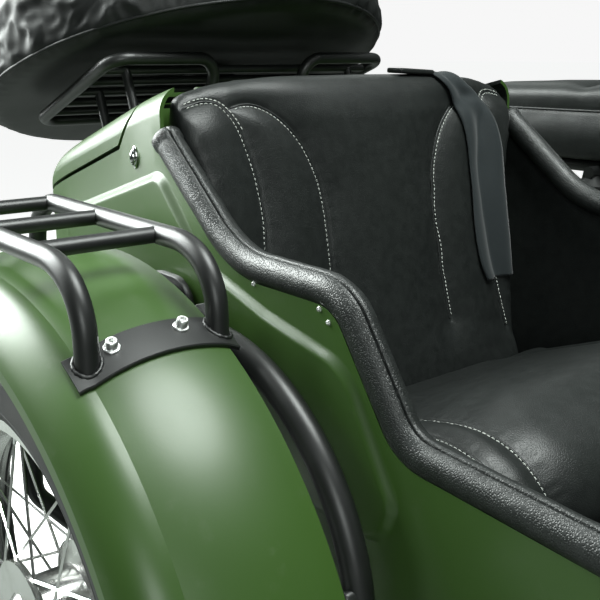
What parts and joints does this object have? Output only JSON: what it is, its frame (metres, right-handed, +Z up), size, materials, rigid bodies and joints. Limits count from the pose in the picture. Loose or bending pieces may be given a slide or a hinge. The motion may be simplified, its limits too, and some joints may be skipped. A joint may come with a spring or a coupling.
{
  "type": "sidecar motorcycle",
  "caption": "Flat-twin motorcycle with a steel-bodied sidecar, rack-topped mudguard, padded open cockpit and a boot lid carrying a rack with a covered spare wheel.",
  "frame": {"origin": "on the ground, under the middle of the whole outfit's outline", "axes": "+X forward along the outfit, +Y to the rider's left, +Z up"},
  "size_m": [2.5488, 1.6514, 1.233],
  "materials": {
    "green_paint": "satin moss-green enamel",
    "black_paint": "semi-gloss black enamel",
    "polished": "bright plating",
    "alloy": "cast and brushed light alloy",
    "rim_alloy": "polished light alloy",
    "hide": "black grained vinyl hide with stitched seams",
    "cloth": "black coated cloth",
    "tyre": "black rubber",
    "grip_rubber": "black moulded rubber",
    "lens": "clear ribbed glass",
    "red_lens": "red moulded lens"
  },
  "bodies": {
    "outfit": {"frame_backbone": "black_paint", "frame_cradle": "black_paint", "crankcase": "alloy", "gearbox": "alloy", "cylinders": "alloy", "carburettors": "alloy", "exhaust_pipes": "polished", "muffler": "polished", "rear_swingarm": "black_paint", "rear_shocks": "black_paint", "fuel_tank": "green_paint", "saddle": "hide", "side_boxes": "green_paint", "tail_lamp": "red_lens", "footrests": "grip_rubber", "rear_mudguard": "green_paint", "chassis": "black_paint", "link_struts": "black_paint", "tow_eye": "black_paint", "sidecar_arm": "black_paint", "sidecar_brake": "alloy", "shock_tower": "black_paint", "sidecar_shock": "black_paint", "sidecar_mudguard": "green_paint", "guard_hoop": "black_paint", "mudguard_rack": "black_paint", "sidecar_lamp": "lens", "sidecar_tail_lamp": "red_lens", "sidecar_tub": "green_paint", "cockpit_trim": "hide", "seat_base": "black_paint", "seat_cushion": "hide", "seat_back": "hide"},
    "boot_cover": {"boot_lid": "green_paint", "boot_rack": "black_paint", "spare_spacer": "black_paint", "spare_cover": "cloth"},
    "fork": {"fork_legs": "alloy", "fork_clamps": "black_paint", "front_axle": "polished", "front_brake": "alloy", "front_mudguard": "green_paint", "handlebar": "polished", "grips": "grip_rubber", "levers_and_mirrors": "black_paint", "headlight_shell": "green_paint", "headlight_lens": "lens", "headlight_ears": "black_paint", "speedometer": "black_paint"},
    "front_roller": {"front_tyre": "tyre", "front_wheel": "rim_alloy"},
    "rear_roller": {"rear_tyre": "tyre", "rear_wheel": "rim_alloy"},
    "sidecar_roller": {"sidecar_tyre": "tyre", "sidecar_wheel": "rim_alloy"}
  },
  "joints": [
    {"name": "steering", "type": "hinge", "parent": "outfit", "child": "fork", "pos_m": [0.61441, 0.4263, 0.88112], "axis": [-0.4384, 0, 0.8988], "range_deg": [-32, 32]},
    {"name": "front_wheel_spin", "type": "hinge", "parent": "fork", "child": "front_roller", "pos_m": [0.9444, 0.4263, 0.33], "axis": [0, 1, 0], "continuous": true},
    {"name": "rear_wheel_spin", "type": "hinge", "parent": "outfit", "child": "rear_roller", "pos_m": [-0.5456, 0.4263, 0.33], "axis": [0, 1, 0], "continuous": true},
    {"name": "sidecar_wheel_spin", "type": "hinge", "parent": "outfit", "child": "sidecar_roller", "pos_m": [-0.4856, -0.7337, 0.33], "axis": [0, 1, 0], "continuous": true},
    {"name": "boot_lid_hinge", "type": "hinge", "parent": "outfit", "child": "boot_cover", "pos_m": [-0.5671, -0.2557, 0.91315], "axis": [0, 1, 0], "range_deg": [0, 60]}
  ]
}
